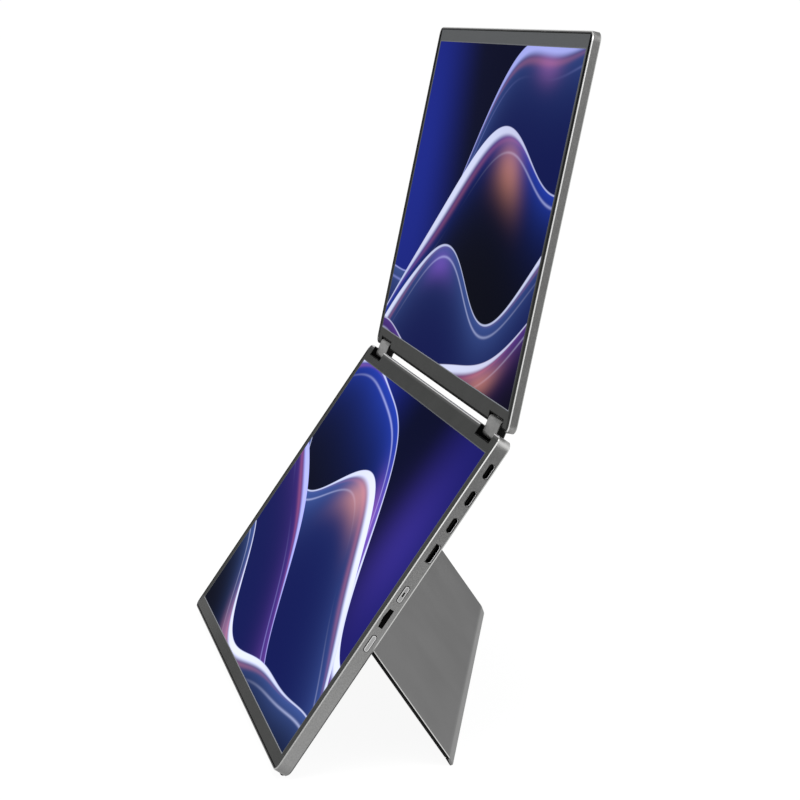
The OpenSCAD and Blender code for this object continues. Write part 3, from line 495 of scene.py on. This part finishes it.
WEAR = {
    "lower_back_cover": "housing_low", "upper_back_cover": "housing_up", "lower_trim_ring": "trim_low", "upper_trim_ring": "black",
    "lower_cover_glass": "glass_low", "upper_cover_glass": "glass_up", "lower_oled_panel": "panel", "upper_oled_panel": "panel",
    "lower_mid_frame": "sheet", "upper_mid_frame": "sheet", "main_board": "board", "driver_board": "board", "button_board": "board",
    "usb_c_port_upper": "shell", "usb_c_port_middle": "shell", "usb_c_port_lower": "shell", "mini_hdmi_port": "shell",
    "tactile_switches": "steel", "rocker_pin": "steel", "tripod_insert": "brass", "rubber_feet": "rubber",
    "stand_bracket_left": "steel", "stand_bracket_right": "steel", "stand_pins": "steel", "stand_screws": "steel",
    "lower_pocket_liner_left": "black", "lower_pocket_liner_right": "black", "upper_pocket_liner_left": "black", "upper_pocket_liner_right": "black",
    "lower_hinge_bracket_left": "steel", "lower_hinge_bracket_right": "steel", "upper_hinge_bracket_left": "steel", "upper_hinge_bracket_right": "steel",
    "lower_shaft_left": "black_metal", "lower_shaft_right": "black_metal", "upper_shaft_left": "black_metal", "upper_shaft_right": "black_metal",
    "lower_gear_left": "brass", "lower_gear_right": "brass", "upper_gear_left": "brass", "upper_gear_right": "brass",
    "idler_gears_near": "brass", "idler_gears_far": "brass", "idler_pins": "steel", "lower_hinge_screws": "steel", "upper_hinge_screws": "steel",
    "hinge_cover_left": "hinge_cover", "hinge_cover_right": "hinge_cover", "hinge_housing_left": "black_metal", "hinge_housing_right": "black_metal",
    "hinge_end_plate_left": "black_metal", "hinge_end_plate_right": "black_metal",
    "stand_plate": "stand", "stand_liner": "liner", "stand_foot_strip": "rubber",
    "power_button": "button_power", "menu_button": "button_menu", "nav_rocker": "rocker",
}
# edge rounding of each node, in mm
ROUND = {"lower_back_cover": 0.12, "upper_back_cover": 0.12, "stand_plate": 0.15, "hinge_cover_left": 0.12, "hinge_cover_right": 0.12,
         "power_button": 0.2, "menu_button": 0.2, "nav_rocker": 0.25, "lower_cover_glass": 0.1, "upper_cover_glass": 0.1,
         "rubber_feet": 0.25, "stand_liner": 0.1, "stand_foot_strip": 0.12}
for name, o in NODES.items():
    o.data.materials.clear()
    o.data.materials.append(M[WEAR[name]])
    if name in ROUND:
        w = o.modifiers.new("weld", "WELD")
        w.merge_threshold = 1e-6
        b = o.modifiers.new("round", "BEVEL")
        b.width = ROUND[name] / 1000
        b.segments = 2
        b.limit_method = "ANGLE"
        b.angle_limit = math.radians(25)
        b.use_clamp_overlap = True
        b.harden_normals = False


# ------------------------------------------------------------------ small parts
def piece(name, bm, mat, body, bevel=0.0, smooth=True):
    me = bpy.data.meshes.new(name)
    bmesh.ops.recalc_face_normals(bm, faces=bm.faces)
    bm.to_mesh(me)
    bm.free()
    o = bpy.data.objects.new(name, me)
    scene.collection.objects.link(o)
    me.materials.append(M[mat])
    for p in me.polygons:
        p.use_smooth = smooth
    if smooth:
        me.set_sharp_from_angle(angle=math.radians(35))
    if bevel:
        b = o.modifiers.new("round", "BEVEL")
        b.width, b.segments, b.limit_method, b.angle_limit = bevel / 1000, 2, "ANGLE", math.radians(30)
    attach(o, body)
    return o


def add_box(bm, place, x0, x1, y0, y1, z0, z1):
    v = [bm.verts.new(place(x, y, z)) for z in (z0, z1) for y in (y0, y1) for x in (x0, x1)]
    for f in ((0, 1, 3, 2), (4, 6, 7, 5), (0, 4, 5, 1), (2, 3, 7, 6), (0, 2, 6, 4), (1, 5, 7, 3)):
        bm.faces.new([v[i] for i in f])


def add_loop_solid(bm, rings):
    """Closed solid through rings of points of equal count."""
    n = len(rings[0])
    vs = [[bm.verts.new(p) for p in r] for r in rings]
    for a, b in zip(vs, vs[1:]):
        for i in range(n):
            bm.faces.new((a[i], a[(i + 1) % n], b[(i + 1) % n], b[i]))
    bm.faces.new(vs[0][::-1])
    bm.faces.new(vs[-1])


def disc(bm, place, x0, x1, cy, cz, profile, n=32):
    """Turned part along x: profile is [(x fraction, radius), ...]."""
    rings = []
    for t, r in profile:
        x = x0 + (x1 - x0) * t
        rings.append([place(x, cy + r * math.cos(a), cz + r * math.sin(a)) for a in [2 * math.pi * i / n for i in range(n)]])
    add_loop_solid(bm, rings)


USB = (190.6, 173.8, 157.0)
HDMI = 139.3
for i, u in enumerate(USB):
    bm = bmesh.new()
    for k in range(12):
        y = (k - 5.5) * 0.5
        for s in (-1, 1):
            z0, z1 = sorted((s * 0.34, s * 0.40))
            add_box(bm, low, 151.2, 156.7 + (0.25 if k in (0, 3, 8, 11) else 0.0), u + y - 0.13, u + y + 0.13, 3.1 + z0, 3.1 + z1)
    piece(f"usb_c_contacts_{i + 1}", bm, "gold", "lower_display", smooth=False)
    # dark moulded core on the tongue, with rounded nose
    bm = bmesh.new()
    rings = []
    for x, g in ((150.7, 0.03), (157.0, 0.03), (157.25, 0.0), (157.3, -0.12)):
        a, b_ = 3.35 + g, 0.35 + g
        rings.append([low(x, u + sy * a, 3.1 + sz * b_) for sy, sz in ((-1, -1), (1, -1), (1, 1), (-1, 1))])
    add_loop_solid(bm, rings)
    piece(f"usb_c_tongue_{i + 1}", bm, "tongue", "lower_display", bevel=0.05, smooth=False)
bm = bmesh.new()
for k in range(10):
    y = (k - 4.5) * 0.7
    add_box(bm, low, 150.6, 156.6, HDMI + y - 0.16, HDMI + y + 0.16, 3.1 - 0.17, 3.1 - 0.1)
    add_box(bm, low, 150.6, 156.6, HDMI + y - 0.16, HDMI + y + 0.16, 3.1 + 0.5, 3.1 + 0.57)
piece("hdmi_contacts", bm, "gold", "lower_display", smooth=False)
bm = bmesh.new()
rings = []
for x, g in ((149.8, 0.03), (156.8, 0.03), (157.05, 0.0), (157.1, -0.12)):
    rings.append([low(x, HDMI + sy * (3.9 + g), 3.1 + 0.2 + sz * (0.3 + g)) for sy, sz in ((-1, -1), (1, -1), (1, 1), (-1, 1))])
add_loop_solid(bm, rings)
piece("hdmi_tongue", bm, "tongue", "lower_display", bevel=0.05, smooth=False)

# slotted axle caps in the open outer ends of the hinge blocks
for side, s in (("left", -1), ("right", 1)):
    bm = bmesh.new()
    for y in (0.0, LINK):
        disc(bm, lambda x, a, b: link(s * (133 + x), a, b), 10.75, 11.15, y, 0.0, [(0, 1.45), (0.55, 1.45), (0.85, 1.3), (1, 1.1)])
        add_box(bm, lambda x, a, b: link(s * (133 + x), a, b), 11.1, 11.19, y - 0.85, y + 0.85, -0.12, 0.12)
    piece(f"hinge_axle_caps_{side}", bm, "cap", "hinge_links")

# ------------------------------------------------------------------ floor and light
bm = bmesh.new()
R = 60.0
v = [bm.verts.new((x, y, -0.0001)) for x, y in ((-R, -R), (0.55, -R), (0.55, R), (-R, R))]
bm.faces.new(v)
me = bpy.data.meshes.new("floor")
bm.to_mesh(me)
bm.free()
floor = bpy.data.objects.new("floor", me)
scene.collection.objects.link(floor)
fm, nt, b = new_mat("pale_floor")
b.inputs["Base Color"].default_value = (0.09, 0.09, 0.09, 1)
b.inputs["Roughness"].default_value = 1.0
b.inputs["Specular IOR Level"].default_value = 0.0
b.inputs["Emission Color"].default_value = (1, 1, 1, 1)
b.inputs["Emission Strength"].default_value = 0.93
me.materials.append(fm)

world = bpy.data.worlds.new("studio")
scene.world = world
world.use_nodes = True
nt = world.node_tree
bg = nt.nodes["Background"]
g = nt.nodes.new("ShaderNodeTexCoord")
z = dot(nt, g.outputs["Generated"], (0, 0, 1))
x = dot(nt, g.outputs["Generated"], (1, 0, 0))
sky = mix(nt, z.step(0.72, 0.95), (1.02, 1.02, 1.02), (0.5, 0.5, 0.5))
sky = mix(nt, x.step(-0.2, -0.7) * z.step(0.04, 0.3), sky, (0.66, 0.66, 0.66))
sky = mix(nt, x.step(0.1, 0.7) * z.step(-0.0, -0.08) * z.step(-0.45, -0.3), sky, (0.04, 0.04, 0.04))
put(nt, plus(nt, sky, (0.9, 0.9, 0.9), dot(nt, g.outputs["Generated"], (0.50, 0.76, 0.41)).step(0.86, 0.98)), bg.inputs["Color"])
bg.inputs["Strength"].default_value = 1.0


def area(name, loc, target, size, power):
    d = bpy.data.lights.new(name, "AREA")
    d.shape, d.size, d.energy = "DISK", size, power
    o = bpy.data.objects.new(name, d)
    scene.collection.objects.link(o)
    o.location = loc
    o.rotation_mode = "QUATERNION"
    o.rotation_quaternion = (Vector(target) - Vector(loc)).to_track_quat("-Z", "Y")
    return o


area("overhead", (0.35, 0.05, 2.3), (0, 0, 0.2), 1.1, 22)
area("front_fill", (0.9, -1.3, 1.6), (0, 0, 0.15), 1.6, 10)
scene.view_settings.view_transform = "Standard"
scene.view_settings.look = "None"
